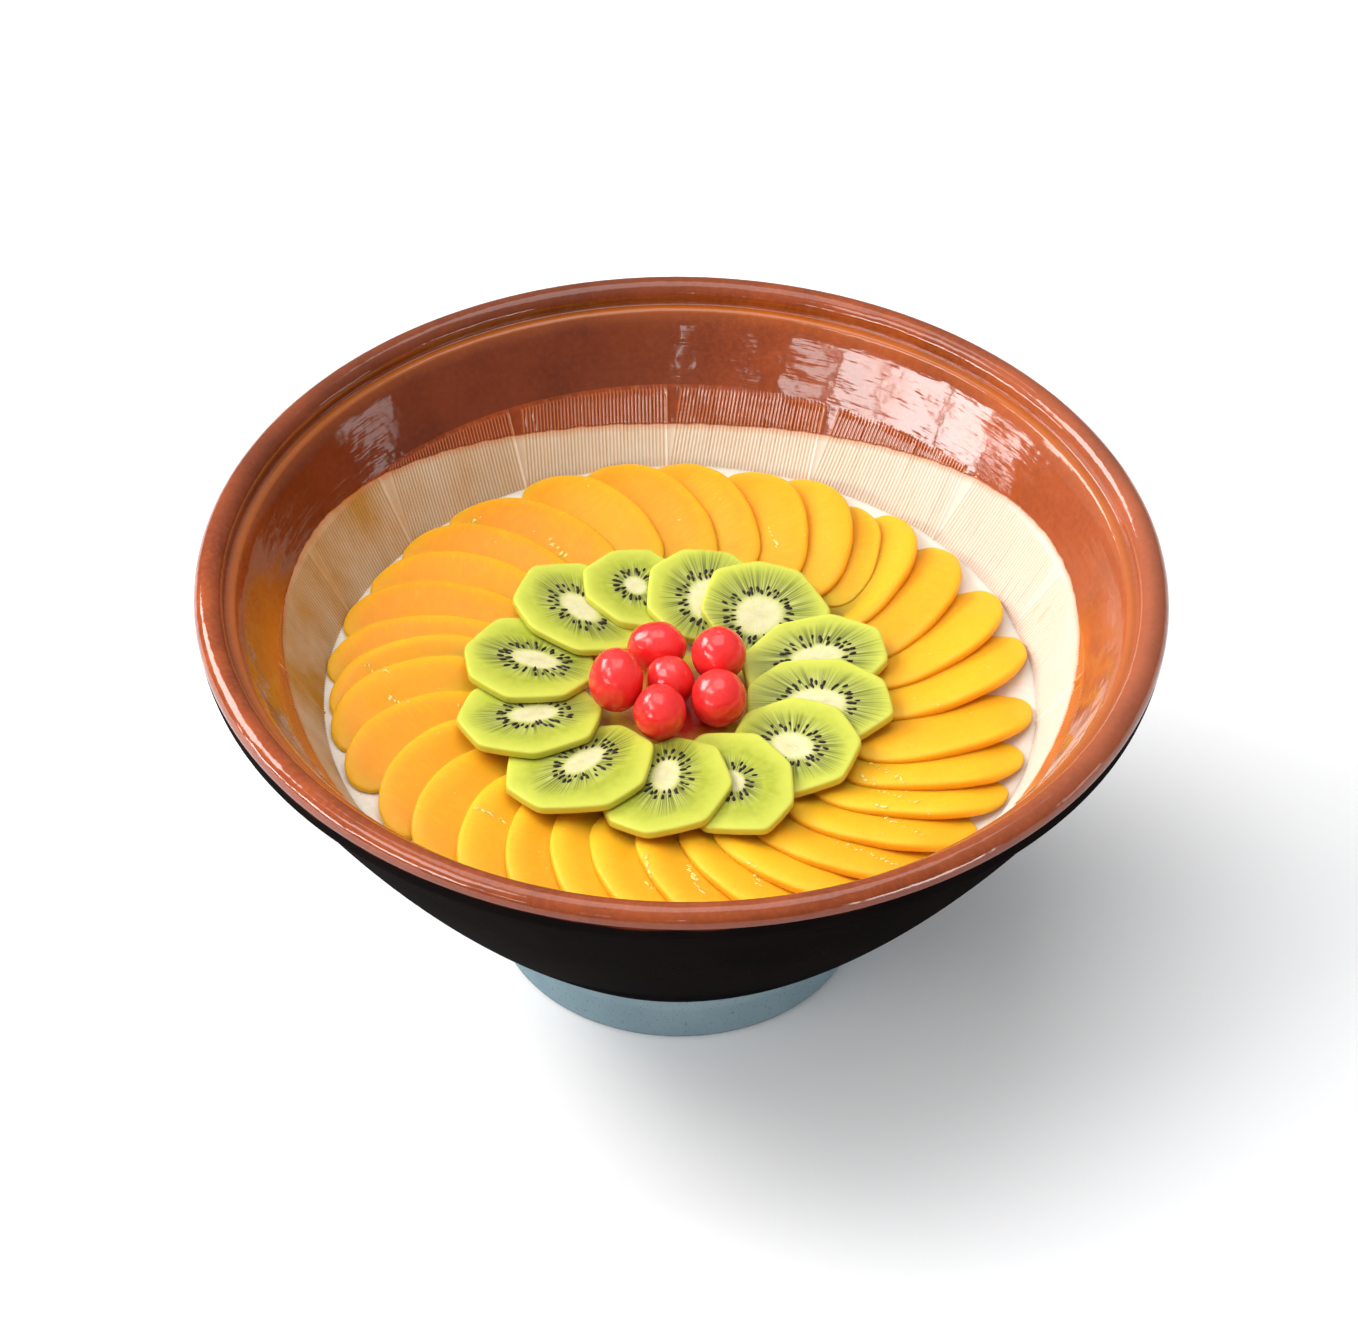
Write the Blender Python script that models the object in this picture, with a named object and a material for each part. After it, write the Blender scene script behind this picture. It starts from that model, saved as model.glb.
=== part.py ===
"""Almond jelly in a wide stoneware mortar bowl, covered with peach, kiwi and cherries.

Metres, +Z up. The origin is the middle of the foot's underside.
Angles round the bowl are degrees clockwise from the far side (+Y), seen from above.
"""

import math
import random

import bmesh
import bpy
from mathutils import Vector
from mathutils.bvhtree import BVHTree

MM = 0.001
GAP = 0.3 * MM
SEGMENTS = 60

# Bowl: the rim's diameter and the height drive the rest
RIM_DIAMETER = 365 * MM
HEIGHT = 174.5 * MM
RIM_RADIUS = RIM_DIAMETER / 2
LIP_ROUND = 5.5 * MM
COLLAR_HEIGHT = 16 * MM
COLLAR_STEP = 5.5 * MM
LEDGE_DEPTH = 7.7 * MM
LEDGE_OUTER = 171.3 * MM
LEDGE_INNER = 166.5 * MM
COLLAR_EDGE = 1.5 * MM
COLLAR_EDGE_RISE = 2.5 * MM
FOOT_RADIUS = 70.5 * MM
FOOT_HEIGHT = 21 * MM
FOOT_WALL = 13 * MM
FOOT_EDGE = 1.5 * MM
FOOT_STEP = 1 * MM
RECESS_DEPTH = 8 * MM
FLOOR_HEIGHT = 20 * MM
FLOOR_RADIUS = 50 * MM
OUTER_BULGE_HIGH = 8.4 * MM
OUTER_BULGE_LOW = 10.1 * MM
INNER_BULGE_HIGH = 12.5 * MM
INNER_BULGE_LOW = 14.5 * MM

# Jelly
JELLY_LEVEL = HEIGHT - 62.2 * MM
JELLY_EDGE = 5 * MM

# Fruit slabs: the inner ring of a slab's face, as a share of the way to its edge
SLAB_INNER = 0.55
SLAB_SHOULDER = 0.75

# Peach slices: each lies on the next one clockwise, with its round edge up
PEACH_ANGLES = (
    2.5, 15.5, 25.5, 35.5, 43, 56, 69.5, 82, 98.5, 109.5, 119.5, 130, 141, 152, 162.5, 173,
    183.5, 194, 204.5, 216, 228, 239.5, 251.5, 263, 270.5, 279, 290.5, 301, 311.5, 323.5, 338,
    350.5,
)
PEACH_SCRAP = 3
SCRAP_SIZE = 0.8
SCRAP_THICKNESS = 0.4
PEACH_RING = 105.5 * MM
PEACH_SHIFT = Vector((0, 0.5)) * MM
PEACH_LENGTH = 61 * MM
PEACH_TUCK = 11 * MM
PEACH_ROUND_SIDE = 20 * MM
PEACH_STONE_SIDE = 14 * MM
PEACH_YAW = -28
PEACH_SLOPE = 0.16
PEACH_EASING = 0.35
PEACH_THICK = 3.9 * MM
PEACH_THIN = 2.3 * MM
PEACH_STEP = 0.83
PEACH_TIP = 0.62
PEACH_TIP_START = 0.44
PEACH_THINNING = 1.3
PEACH_REST = 15 * MM
PEACH_ROUNDING = 0.78
PEACH_DROOP = 0.07
PEACH_POINTS = 16
PEACH_SEED = 7

# Kiwi slices: angle, distance of the middle from the axis, length along the radius, width, and the
# turn of a corner from the radius
KIWI_PLACES = (
    (-43, 57, 56, 47, 0),
    (-18, 56.5, 43, 42, 35),
    (11, 51.5, 49, 47, 12),
    (37, 53.5, 46, 51, 2),
    (74.5, 53.5, 57, 43, 27),
    (101, 53, 57, 44, 11),
    (129.5, 55, 53, 48, 6),
    (160, 58.5, 61, 45, 0),
    (185.5, 58, 58, 50, 2),
    (218.5, 60.5, 60, 53, 30),
    (250.5, 59.5, 56, 49, 8),
    (281.5, 58.5, 50, 53, 2),
)
KIWI_SHIFT = Vector((0, -1)) * MM
KIWI_THICK = 3.2 * MM
KIWI_PITCH = 7.5 * MM
KIWI_HALF_ANGLE = 0.44
KIWI_LIFT = 0.6 * MM
KIWI_RISE_START = 34 * MM
KIWI_RISE = 0.1
KIWI_FACETS = 8
KIWI_FLAT_RISE = 1.012
KIWI_ROUNDING = 0.9
KIWI_SEED = 11

# Cherries in mm: place to the right and away, then width, depth and height
CHERRY_PLACES = (
    (-24.2, -8.4, 20.6, 24, 25),
    (-9.1, 17, 22.6, 19.6, 20.5),
    (14.4, 10.8, 20.8, 21, 21.4),
    (-4.1, -2.6, 18.6, 18.6, 21),
    (14.5, -12.2, 21, 22.2, 22.4),
    (-7.7, -23.2, 20, 21.4, 21.6),
)


def clear_scene():
    for item in list(bpy.data.objects):
        bpy.data.objects.remove(item, do_unlink=True)


def make_material(name, colour, roughness):
    material = bpy.data.materials.new(name)
    material.use_nodes = True
    shader = material.node_tree.nodes["Principled BSDF"]
    shader.inputs["Base Color"].default_value = (*colour, 1)
    shader.inputs["Roughness"].default_value = roughness
    shader.inputs["Metallic"].default_value = 0
    return material


def add_object(name, shape, material, sharp_angle):
    """Turn a finished bmesh into a named object."""
    bmesh.ops.recalc_face_normals(shape, faces=shape.faces)
    mesh = bpy.data.meshes.new(name)
    shape.to_mesh(mesh)
    shape.free()
    mesh.materials.append(material)
    mesh.shade_smooth()
    mesh.set_sharp_from_angle(angle=math.radians(sharp_angle))
    item = bpy.data.objects.new(name, mesh)
    bpy.context.collection.objects.link(item)
    return item


def direction(angle):
    """Unit vector in plan for an angle in degrees clockwise from +Y."""
    turn = math.radians(angle)
    return Vector((math.sin(turn), math.cos(turn)))


def smooth(value):
    value = max(0.0, min(1.0, value))
    return value * value * (3 - 2 * value)


# Bowl profile, as (radius, height) pairs


def bulged_curve(start, end, bulges, steps):
    """Cubic curve whose two inner handles stand off the chord by the two bulges."""
    start = Vector(start)
    end = Vector(end)
    chord = end - start
    outward = Vector((-chord.y, chord.x)).normalized()
    if outward.x < 0:
        outward = -outward
    first = start + chord / 3 + outward * bulges[0]
    second = start + chord * 2 / 3 + outward * bulges[1]
    points = []
    for step in range(steps + 1):
        t = step / steps
        point = (1 - t) ** 3 * start + 3 * (1 - t) ** 2 * t * first
        point += 3 * (1 - t) * t ** 2 * second + t ** 3 * end
        points.append((point.x, point.y))
    return points


def arc(centre, radius, start, end, steps):
    points = []
    for step in range(steps + 1):
        turn = math.radians(start + (end - start) * step / steps)
        points.append((centre[0] + radius * math.cos(turn), centre[1] + radius * math.sin(turn)))
    return points


def foot_profile():
    """Underside from the axis out to the foot's edge."""
    inner = FOOT_RADIUS - FOOT_WALL
    return [
        (0, RECESS_DEPTH),
        (inner - RECESS_DEPTH, RECESS_DEPTH),
        (inner - FOOT_EDGE, RECESS_DEPTH * 0.5),
        (inner, 0),
        (FOOT_RADIUS - FOOT_EDGE, 0),
        (FOOT_RADIUS, FOOT_EDGE),
    ]


def outer_profile():
    """Outer wall from the foot up to the collar and round the lip to the ledge."""
    collar_foot = (RIM_RADIUS - COLLAR_STEP, HEIGHT - COLLAR_HEIGHT)
    wall = bulged_curve((FOOT_RADIUS + FOOT_STEP, FOOT_HEIGHT), collar_foot,
                        (OUTER_BULGE_LOW, OUTER_BULGE_HIGH), 9)
    collar = [(RIM_RADIUS - COLLAR_EDGE, HEIGHT - COLLAR_HEIGHT + COLLAR_EDGE_RISE)]
    lip = arc((RIM_RADIUS - LIP_ROUND, HEIGHT - LIP_ROUND), LIP_ROUND, 0, 180, 6)
    ledge = [(LEDGE_OUTER, HEIGHT - LEDGE_DEPTH)]
    return wall + collar + lip + ledge


def inner_profile():
    """Inner wall from the ledge down to the floor and in to the axis."""
    wall = bulged_curve((LEDGE_INNER, HEIGHT - LEDGE_DEPTH), (FLOOR_RADIUS, FLOOR_HEIGHT),
                        (INNER_BULGE_HIGH, INNER_BULGE_LOW), 8)
    return wall + [(0, FLOOR_HEIGHT)]


def wall_radius(height):
    """Radius of the inner wall's facets at a height."""
    points = inner_profile()
    for upper, lower in zip(points, points[1:]):
        if lower[1] <= height <= upper[1]:
            share = (height - lower[1]) / (upper[1] - lower[1])
            return lower[0] + (upper[0] - lower[0]) * share
    return points[0][0]


def turn_profile(name, profile, material):
    """Spin a profile that starts and ends on the axis into a closed solid."""
    shape = bmesh.new()
    verts = [shape.verts.new((radius, 0, height)) for radius, height in profile]
    edges = [shape.edges.new(pair) for pair in zip(verts, verts[1:])]
    bmesh.ops.spin(shape, geom=verts + edges, cent=(0, 0, 0), axis=(0, 0, 1),
                   angle=math.tau, steps=SEGMENTS, use_merge=True)
    bmesh.ops.remove_doubles(shape, verts=shape.verts, dist=0.01 * MM)
    return add_object(name, shape, material, 35)


def build_bowl():
    glaze = make_material("stoneware_glaze", (0.16, 0.045, 0.02), 0.18)
    return turn_profile("bowl", foot_profile() + outer_profile() + inner_profile(), glaze)


def build_jelly():
    """Everything inside the wall up to the level, a gap clear of the bowl."""
    milk = make_material("almond_jelly", (0.86, 0.82, 0.76), 0.25)
    rim = wall_radius(JELLY_LEVEL) - 1.5 * GAP
    profile = [(0, JELLY_LEVEL), (rim, JELLY_LEVEL)]
    for radius, height in inner_profile():
        if height < JELLY_LEVEL - JELLY_EDGE:
            profile.append((max(0, radius - GAP), height + GAP))
    return turn_profile("almond_jelly", profile, milk)


# Fruit slices: slabs that follow a height law, round at the edge


def slab(name, centre, outline, underside, thickness, rounding, material):
    """Closed slab over a plan outline. underside and thickness take a plan point."""
    shape = bmesh.new()

    def ring(share, side):
        lift = math.sqrt(max(0, 1 - max(0, (share - rounding) / (1 - rounding)) ** 2))
        verts = []
        for point in outline:
            place = centre + (point - centre) * share
            deep = thickness(place)
            height = underside(place) + deep * (0.5 + 0.5 * side * lift)
            verts.append(shape.verts.new((place.x, place.y, height)))
        return verts

    shoulder = rounding + SLAB_SHOULDER * (1 - rounding)
    rings = [ring(SLAB_INNER, 1), ring(shoulder, 1), ring(1, 1), ring(shoulder, -1)]
    count = len(outline)
    for near, far in zip(rings, rings[1:]):
        for index in range(count):
            after = (index + 1) % count
            shape.faces.new((near[index], near[after], far[after], far[index]))
    for verts, side in ((rings[0], 1), (rings[-1], -1)):
        height = underside(centre) + thickness(centre) * (0.5 + 0.5 * side)
        middle = shape.verts.new((centre.x, centre.y, height))
        for index in range(count):
            shape.faces.new((verts[index], verts[(index + 1) % count], middle))
    bmesh.ops.triangulate(shape, faces=shape.faces)
    return add_object(name, shape, material, 50)


def build_peach(name, angle, spacing, scrap, draw, material):
    """One slice. spacing is the angle to the slice that lies over its stone side."""
    size = SCRAP_SIZE if scrap else 1
    length = PEACH_LENGTH * size * draw.uniform(0.96, 1.04)
    round_side = PEACH_ROUND_SIDE * size * draw.uniform(0.94, 1.06)
    stone_side = PEACH_STONE_SIDE * draw.uniform(0.95, 1.05)
    yaw = PEACH_YAW + draw.uniform(-4, 4)
    middle = direction(angle) * (PEACH_RING + draw.uniform(-1.2, 0.8) * MM) + PEACH_SHIFT
    along = direction(angle + yaw)
    across = direction(angle + yaw + 90)

    lie = direction(angle + PEACH_YAW + 90)
    level = PEACH_RING * math.cos(math.radians(PEACH_YAW + 90))
    step = PEACH_STEP * PEACH_SLOPE * math.radians(spacing)
    band = math.radians(spacing) * PEACH_RING * math.cos(math.radians(PEACH_YAW))
    thick = PEACH_THICK * draw.uniform(0.92, 1.05) * (SCRAP_THICKNESS if scrap else 1)
    outer_end = length / 2
    inner_end = length / 2 + PEACH_TUCK

    def easing(place):
        """The slope's share at a place: less towards the end under the kiwi slices."""
        return 1 - PEACH_EASING * smooth((middle - place).dot(along) / inner_end)

    def underside(place):
        droop = PEACH_DROOP * max(0, (place - middle).dot(along) - length / 6)
        rise = PEACH_SLOPE * easing(place) * (place.dot(lie) - level + PEACH_REST)
        return JELLY_LEVEL + GAP + rise - droop

    def thickness(place):
        offset = place - middle
        reach = offset.dot(along)
        reach /= outer_end if reach > 0 else -inner_end
        edge = round_side * math.sqrt(max(0, 1 - reach * reach))
        share = 1 - (edge - offset.dot(across)) / band
        full = smooth((1 - reach) / (1 - PEACH_TIP_START))
        taper = PEACH_TIP + (1 - PEACH_TIP) * full
        thin = min(PEACH_THIN, step * easing(place) * place.length - 2 * GAP)
        return (thin + (thick - thin) * smooth(PEACH_THINNING * share)) * taper

    outline = []
    for index in range(PEACH_POINTS):
        turn = math.tau * index / PEACH_POINTS
        side = round_side if math.sin(turn) > 0 else stone_side
        end = outer_end if math.cos(turn) > 0 else inner_end
        point = middle + along * (end * math.cos(turn)) + across * (side * math.sin(turn))
        limit = wall_radius(underside(point)) * math.cos(math.pi / SEGMENTS) - 2 * GAP
        if point.length > limit:
            point = point * (limit / point.length)
        outline.append(point)
    return slab(name, middle, outline, underside, thickness, PEACH_ROUNDING, material)


def build_peaches():
    flesh = make_material("peach_flesh", (0.93, 0.43, 0.04), 0.3)
    draw = random.Random(PEACH_SEED)
    for index, angle in enumerate(PEACH_ANGLES):
        spacing = (angle - PEACH_ANGLES[index - 1]) % 360
        scrap = index == PEACH_SCRAP
        build_peach(f"peach_slice_{index:02d}", angle, spacing, scrap, draw, flesh)


def kiwi_outline(middle, along, across, length, width, first, draw):
    """Oval with the flats that peeling leaves."""
    step = math.tau / KIWI_FACETS
    sizes = [draw.uniform(1, 1.06) for _ in range(KIWI_FACETS)]
    corners = []
    for index in range(KIWI_FACETS):
        turn = first + step * (index + draw.uniform(-0.12, 0.12))
        reach = along * (length / 2 * math.cos(turn)) + across * (width / 2 * math.sin(turn))
        corners.append(middle + reach * sizes[index])
    points = []
    for index, corner in enumerate(corners):
        after = corners[(index + 1) % KIWI_FACETS]
        points.append(corner)
        points.append(middle + ((corner + after) / 2 - middle) * KIWI_FLAT_RISE)
    return points


def build_kiwi(name, place, spacing, draw, material):
    """One slice. spacing is the angle to the slice that lies on it."""
    angle, reach, length, width, corner = place
    middle = direction(angle) * reach * MM + KIWI_SHIFT
    along = direction(angle)
    across = direction(angle + 90)
    own_turn = math.radians(angle)
    deep = min(KIWI_THICK, KIWI_PITCH * math.radians(spacing) - GAP)

    def underside(point):
        turn = math.atan2(point.x, point.y) - own_turn
        turn = (turn + math.pi) % math.tau - math.pi
        rise = KIWI_RISE * max(0, point.length - KIWI_RISE_START)
        return JELLY_LEVEL + GAP + KIWI_LIFT + rise + KIWI_PITCH * (KIWI_HALF_ANGLE - turn)

    def thickness(point):
        return deep

    outline = kiwi_outline(middle, along, across, length * MM, width * MM, math.radians(corner), draw)
    return slab(name, middle, outline, underside, thickness, KIWI_ROUNDING, material)


def build_kiwis():
    flesh = make_material("kiwi_flesh", (0.42, 0.58, 0.06), 0.3)
    draw = random.Random(KIWI_SEED)
    items = []
    for index, place in enumerate(KIWI_PLACES):
        after = KIWI_PLACES[(index + 1) % len(KIWI_PLACES)]
        spacing = (after[0] - place[0]) % 360
        items.append(build_kiwi(f"kiwi_slice_{index + 1:02d}", place, spacing, draw, flesh))
    return items


def resting_height(place, half, beneath):
    """Height of an egg shape's middle when it comes down on the meshes beneath it."""
    rings = 12
    spokes = 48
    highest = JELLY_LEVEL + half.z
    for ring in range(rings + 1):
        share = ring / rings
        drop = half.z * math.sqrt(1 - share * share)
        for spoke in range(spokes):
            turn = math.tau * spoke / spokes
            offset = Vector((half.x * math.cos(turn), half.y * math.sin(turn))) * share
            start = Vector((place.x + offset.x, place.y + offset.y, HEIGHT))
            for tree in beneath:
                hit = tree.ray_cast(start, Vector((0, 0, -1)))[0]
                if hit:
                    highest = max(highest, hit.z + drop)
    return highest + GAP


def build_cherries(beneath):
    skin = make_material("cherry_skin", (0.72, 0.02, 0.015), 0.22)
    trees = []
    for item in beneath:
        points = [vertex.co for vertex in item.data.vertices]
        faces = [tuple(face.vertices) for face in item.data.polygons]
        trees.append(BVHTree.FromPolygons(points, faces))
    for index, (right, away, width, depth, tall) in enumerate(CHERRY_PLACES):
        place = Vector((right, away)) * MM
        half = Vector((width, depth, tall)) * MM / 2
        shape = bmesh.new()
        bmesh.ops.create_uvsphere(shape, u_segments=12, v_segments=8, radius=1)
        bmesh.ops.scale(shape, vec=half, verts=shape.verts)
        item = add_object(f"cherry_{index + 1}", shape, skin, 60)
        item.location = (place.x, place.y, resting_height(place, half, trees))


def main():
    clear_scene()
    build_bowl()
    build_jelly()
    build_peaches()
    kiwis = build_kiwis()
    build_cherries(kiwis)


main()
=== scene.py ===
"""Looks of an almond jelly in its mortar bowl, covered with peach, kiwi and cherries.

Metres, +Z up. Angles round the bowl are degrees clockwise from the far side (+Y), seen from above.
"""

import random
from math import atan2, cos, pi, radians, sin, sqrt, tau

import bmesh
import bpy
import numpy as np
from mathutils import Matrix, Vector, noise
from mathutils.bvhtree import BVHTree


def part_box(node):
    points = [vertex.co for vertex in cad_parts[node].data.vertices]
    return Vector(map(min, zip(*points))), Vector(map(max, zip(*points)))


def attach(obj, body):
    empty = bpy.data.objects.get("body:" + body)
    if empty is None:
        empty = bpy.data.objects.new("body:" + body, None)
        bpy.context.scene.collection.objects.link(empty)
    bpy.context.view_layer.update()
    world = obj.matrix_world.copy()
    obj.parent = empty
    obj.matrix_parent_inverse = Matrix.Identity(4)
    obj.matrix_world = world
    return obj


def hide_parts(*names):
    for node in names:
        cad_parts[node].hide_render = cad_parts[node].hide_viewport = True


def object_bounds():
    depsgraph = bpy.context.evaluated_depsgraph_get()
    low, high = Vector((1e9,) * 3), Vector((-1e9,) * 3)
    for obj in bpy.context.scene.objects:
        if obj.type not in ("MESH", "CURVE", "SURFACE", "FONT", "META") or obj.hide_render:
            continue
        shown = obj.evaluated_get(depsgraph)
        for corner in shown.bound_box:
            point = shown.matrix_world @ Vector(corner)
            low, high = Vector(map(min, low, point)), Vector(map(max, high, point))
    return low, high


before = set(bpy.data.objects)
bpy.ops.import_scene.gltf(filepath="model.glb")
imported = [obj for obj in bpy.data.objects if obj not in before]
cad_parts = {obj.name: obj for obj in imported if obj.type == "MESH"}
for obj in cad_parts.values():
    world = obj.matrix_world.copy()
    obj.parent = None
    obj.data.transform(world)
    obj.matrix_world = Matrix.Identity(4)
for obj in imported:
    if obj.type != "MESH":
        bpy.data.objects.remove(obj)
cad_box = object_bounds()

MM = 0.001
GAP = 0.3 * MM

# Photograph and camera, as fitted to the bowl's rim, foot and fruit
PHOTO_WIDTH = 1358
CAMERA_DISTANCE = 2400 * MM
CAMERA_ELEVATION = 0.7343
CAMERA_ROLL = 0.0127
CAMERA_TARGET = Vector((-0.6, 0, 130.36)) * MM
FOCAL_PIXELS = 6341.8
SENSOR_WIDTH = 36

# Bowl, from the frame's box and the same proportions as the solid
RIM_RADIUS = (cad_box[1].x - cad_box[0].x) / 2
HEIGHT = cad_box[1].z
LIP_ROUND = 5.5 * MM
COLLAR_HEIGHT = 16 * MM
COLLAR_STEP = 5.5 * MM
LEDGE_DEPTH = 7.7 * MM
LEDGE_OUTER = 171.3 * MM
LEDGE_INNER = 166.5 * MM
LEDGE_MIDDLE = 168.6 * MM
FOOT_RADIUS = 70.5 * MM
FOOT_HEIGHT = 21 * MM
FOOT_WALL = 13 * MM
RECESS_DEPTH = 8 * MM
FLOOR_HEIGHT = 20 * MM
FLOOR_RADIUS = 50 * MM
OUTER_BULGES = (10.1 * MM, 8.4 * MM)
INNER_BULGES = (12.5 * MM, 14.5 * MM)
BOWL_COLUMNS = 288
FOOT_EDGE = 1.6 * MM
# Small steps of the profile, as mm outward and up from a place
COLLAR_STEPS = ((-4.1, 0.6), (-2.5, 1.5), (-1.4, 2.9), (-0.8, 5), (-0.4, 7.5))
LIP_STEPS = ((0.2, 0.9), (-0.2, 0.2))
LEDGE_STEPS = ((3, 0.1), (2.2, 0.1), (1.6, 0), (0.8, -0.3), (0.2, -0.9))

# Combed band of the inner wall
COMB_TOP = 141.2 * MM
COMB_BOTTOM = 108 * MM
COMB_BACK = 1.6 * MM
COMB_CHANNEL = 1.1 * MM
COMB_ROWS = 16
COMB_CROWDING = 1.25
GROOVE_PITCH = 1.4 * MM
WEDGE_COLUMNS = 5
WEDGE_GROOVE = 0.4
GROOVE_DEPTH = 0.42 * MM
DIVIDER_WIDTH = 0.5 * MM
DIVIDER_RISE = 0.4 * MM
COMB_SPREAD = 0.75
COMB_OVER = 0.03 * MM
CHANNEL_EDGE = 0.2 * MM
DIVIDERS = (-95, -70.5, -51, -27, -2.6, 21.5, 46.5, 71, 95, 119.5, 143.5, 168, 192, 216.5, 240.5)

# Glaze line inside, as the height's cosine waves round the bowl, and the line under the lip
GLAZE_WAVES = (132.9 * MM, 2.7 * MM, -3.4 * MM, -6.1 * MM, 0.9 * MM, 0.7 * MM)
THIN_RUNS = (24, 10)
# Painted shade: share and side of the darker brown on the back-left glaze, for the dark room it reflects
BACK_LEFT_SHADE = 0.55
SHADED_SIDE = Vector((sin(radians(-38)), cos(radians(-38)), 0))
BLACK_LINE = HEIGHT - 6 * MM
FOOT_LINE = 22.5 * MM
FAR_LINE = 50
OUTSIDE_COAT = 0.02

# Jelly
JELLY_CLIMB = 1.2 * MM
JELLY_OVERLAP = 0.5 * MM
JELLY_WAVE = 0.25 * MM
JELLY_COLUMNS = 192
JELLY_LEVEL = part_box("almond_jelly")[1].z
RED_MIDDLE = Vector((1 * MM, -4 * MM, JELLY_LEVEL))


def srgb(red, green, blue):
    """Linear colour from 0 to 255 display values."""
    channels = []
    for value in (red, green, blue):
        share = value / 255
        channels.append(share / 12.92 if share <= 0.04045 else ((share + 0.055) / 1.055) ** 2.4)
    return (*channels, 1)


def direction(angle):
    """Unit vector in plan for an angle in degrees clockwise from +Y."""
    turn = radians(angle)
    return Vector((sin(turn), cos(turn)))


def around(turn):
    """Level unit vector for a turn in radians clockwise from +Y."""
    return Vector((sin(turn), cos(turn), 0))


def turns(count):
    """Evenly spaced turns all the way round."""
    return [tau * index / count for index in range(count)]


def smooth(value):
    value = max(0.0, min(1.0, value))
    return value * value * (3 - 2 * value)


# Meshes

SHARP_ANGLE = 70


def add_mesh(name, points, faces, material, marks=None):
    """Make an object from points and faces. marks has, for each point, the values its material reads."""
    mesh = bpy.data.meshes.new(name)
    mesh.from_pydata([tuple(point) for point in points], [], faces)
    for key in marks[0] if marks else ():
        layer = mesh.attributes.new(key, "FLOAT", "POINT")
        layer.data.foreach_set("value", np.array([values[key] for values in marks], np.float32))
    mesh.materials.append(material)
    mesh.update()
    mesh.shade_smooth()
    mesh.set_sharp_from_angle(angle=radians(SHARP_ANGLE))
    item = bpy.data.objects.new(name, mesh)
    bpy.context.scene.collection.objects.link(item)
    return item


def ring_faces(rows, columns, closed=False):
    """Quads between rings of points, each ring closed on itself."""
    faces = []
    for row in range(rows if closed else rows - 1):
        near = row * columns
        far = (row + 1) % rows * columns
        for column in range(columns):
            after = (column + 1) % columns
            faces.append((near + column, near + after, far + after, far + column))
    return faces


def capped_faces(rows, columns):
    """Ring faces closed at both ends round two middle points, which follow the rings' points."""
    faces = ring_faces(rows, columns)
    last = (rows - 1) * columns
    middle = rows * columns
    for column in range(columns):
        after = (column + 1) % columns
        faces.append((column, after, middle))
        faces.append((last + column, last + after, middle + 1))
    return faces


def outward(item):
    """Turn a closed mesh's faces outward."""
    shape = bmesh.new()
    shape.from_mesh(item.data)
    bmesh.ops.recalc_face_normals(shape, faces=shape.faces)
    shape.to_mesh(item.data)
    shape.free()
    return item


def place_piece(item, slot, *nodes):
    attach(item, "root")
    if nodes:
        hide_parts(*nodes)


# Materials


class Graph:
    """Short names for building one material's nodes."""

    def __init__(self, name):
        self.material = bpy.data.materials.new(name)
        self.material.use_nodes = True
        self.tree = self.material.node_tree
        self.shader = self.tree.nodes["Principled BSDF"]

    def node(self, kind, **settings):
        made = self.tree.nodes.new(kind)
        for key, value in settings.items():
            setattr(made, key, value)
        return made

    def feed(self, socket, value):
        if isinstance(value, bpy.types.NodeSocket):
            self.tree.links.new(value, socket)
        else:
            socket.default_value = value

    def mark(self, name):
        return self.node("ShaderNodeAttribute", attribute_name=name).outputs["Fac"]

    def place(self):
        return self.node("ShaderNodeTexCoord").outputs["Object"]

    def across(self):
        """Place along X, to the right in the photograph."""
        split = self.node("ShaderNodeSeparateXYZ")
        self.feed(split.inputs[0], self.place())
        return split.outputs["X"]

    def math(self, operation, first, second=0.0, third=0.0):
        made = self.node("ShaderNodeMath", operation=operation)
        for socket, value in zip(made.inputs, (first, second, third)):
            self.feed(socket, value)
        return made.outputs[0]

    def times(self, first, second):
        return self.math("MULTIPLY", first, second)

    def span(self, value, low, high, start=0.0, end=1.0):
        """Map low..high to start..end, held at both ends."""
        made = self.node("ShaderNodeMapRange")
        for index, item in enumerate((value, low, high, start, end)):
            self.feed(made.inputs[index], item)
        return made.outputs[0]

    def noise(self, scale, detail=3.0, roughness=0.5, vector=None, stretch=None):
        made = self.node("ShaderNodeTexNoise")
        vector = vector or self.place()
        if stretch:
            mapped = self.node("ShaderNodeMapping")
            self.feed(mapped.inputs["Vector"], vector)
            mapped.inputs["Scale"].default_value = stretch
            vector = mapped.outputs[0]
        self.feed(made.inputs["Vector"], vector)
        made.inputs["Scale"].default_value = scale
        made.inputs["Detail"].default_value = detail
        made.inputs["Roughness"].default_value = roughness
        return made.outputs["Fac"]

    def mix(self, share, first, second):
        made = self.node("ShaderNodeMix", data_type="RGBA")
        self.feed(made.inputs[0], share)
        self.feed(made.inputs[6], first)
        self.feed(made.inputs[7], second)
        return made.outputs[2]

    def layers(self, colour, *layers):
        """Lay colours over a first one, each with its share."""
        for share, *over in layers:
            colour = self.mix(share, colour, srgb(*over))
        return colour

    def blend(self, share, first, second):
        """Number between first and second."""
        made = self.node("ShaderNodeMix", data_type="FLOAT")
        self.feed(made.inputs[0], share)
        self.feed(made.inputs[2], first)
        self.feed(made.inputs[3], second)
        return made.outputs[0]

    def bump(self, height, distance, strength=1.0, normal=None):
        made = self.node("ShaderNodeBump")
        made.inputs["Strength"].default_value = strength
        made.inputs["Distance"].default_value = distance
        self.feed(made.inputs["Height"], height)
        if normal:
            self.feed(made.inputs["Normal"], normal)
        return made.outputs[0]

    def set(self, name, value):
        self.feed(self.shader.inputs[name], value)

    def rough(self, patches, low, high):
        self.set("Roughness", self.span(patches, 0.3, 0.7, low, high))


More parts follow.
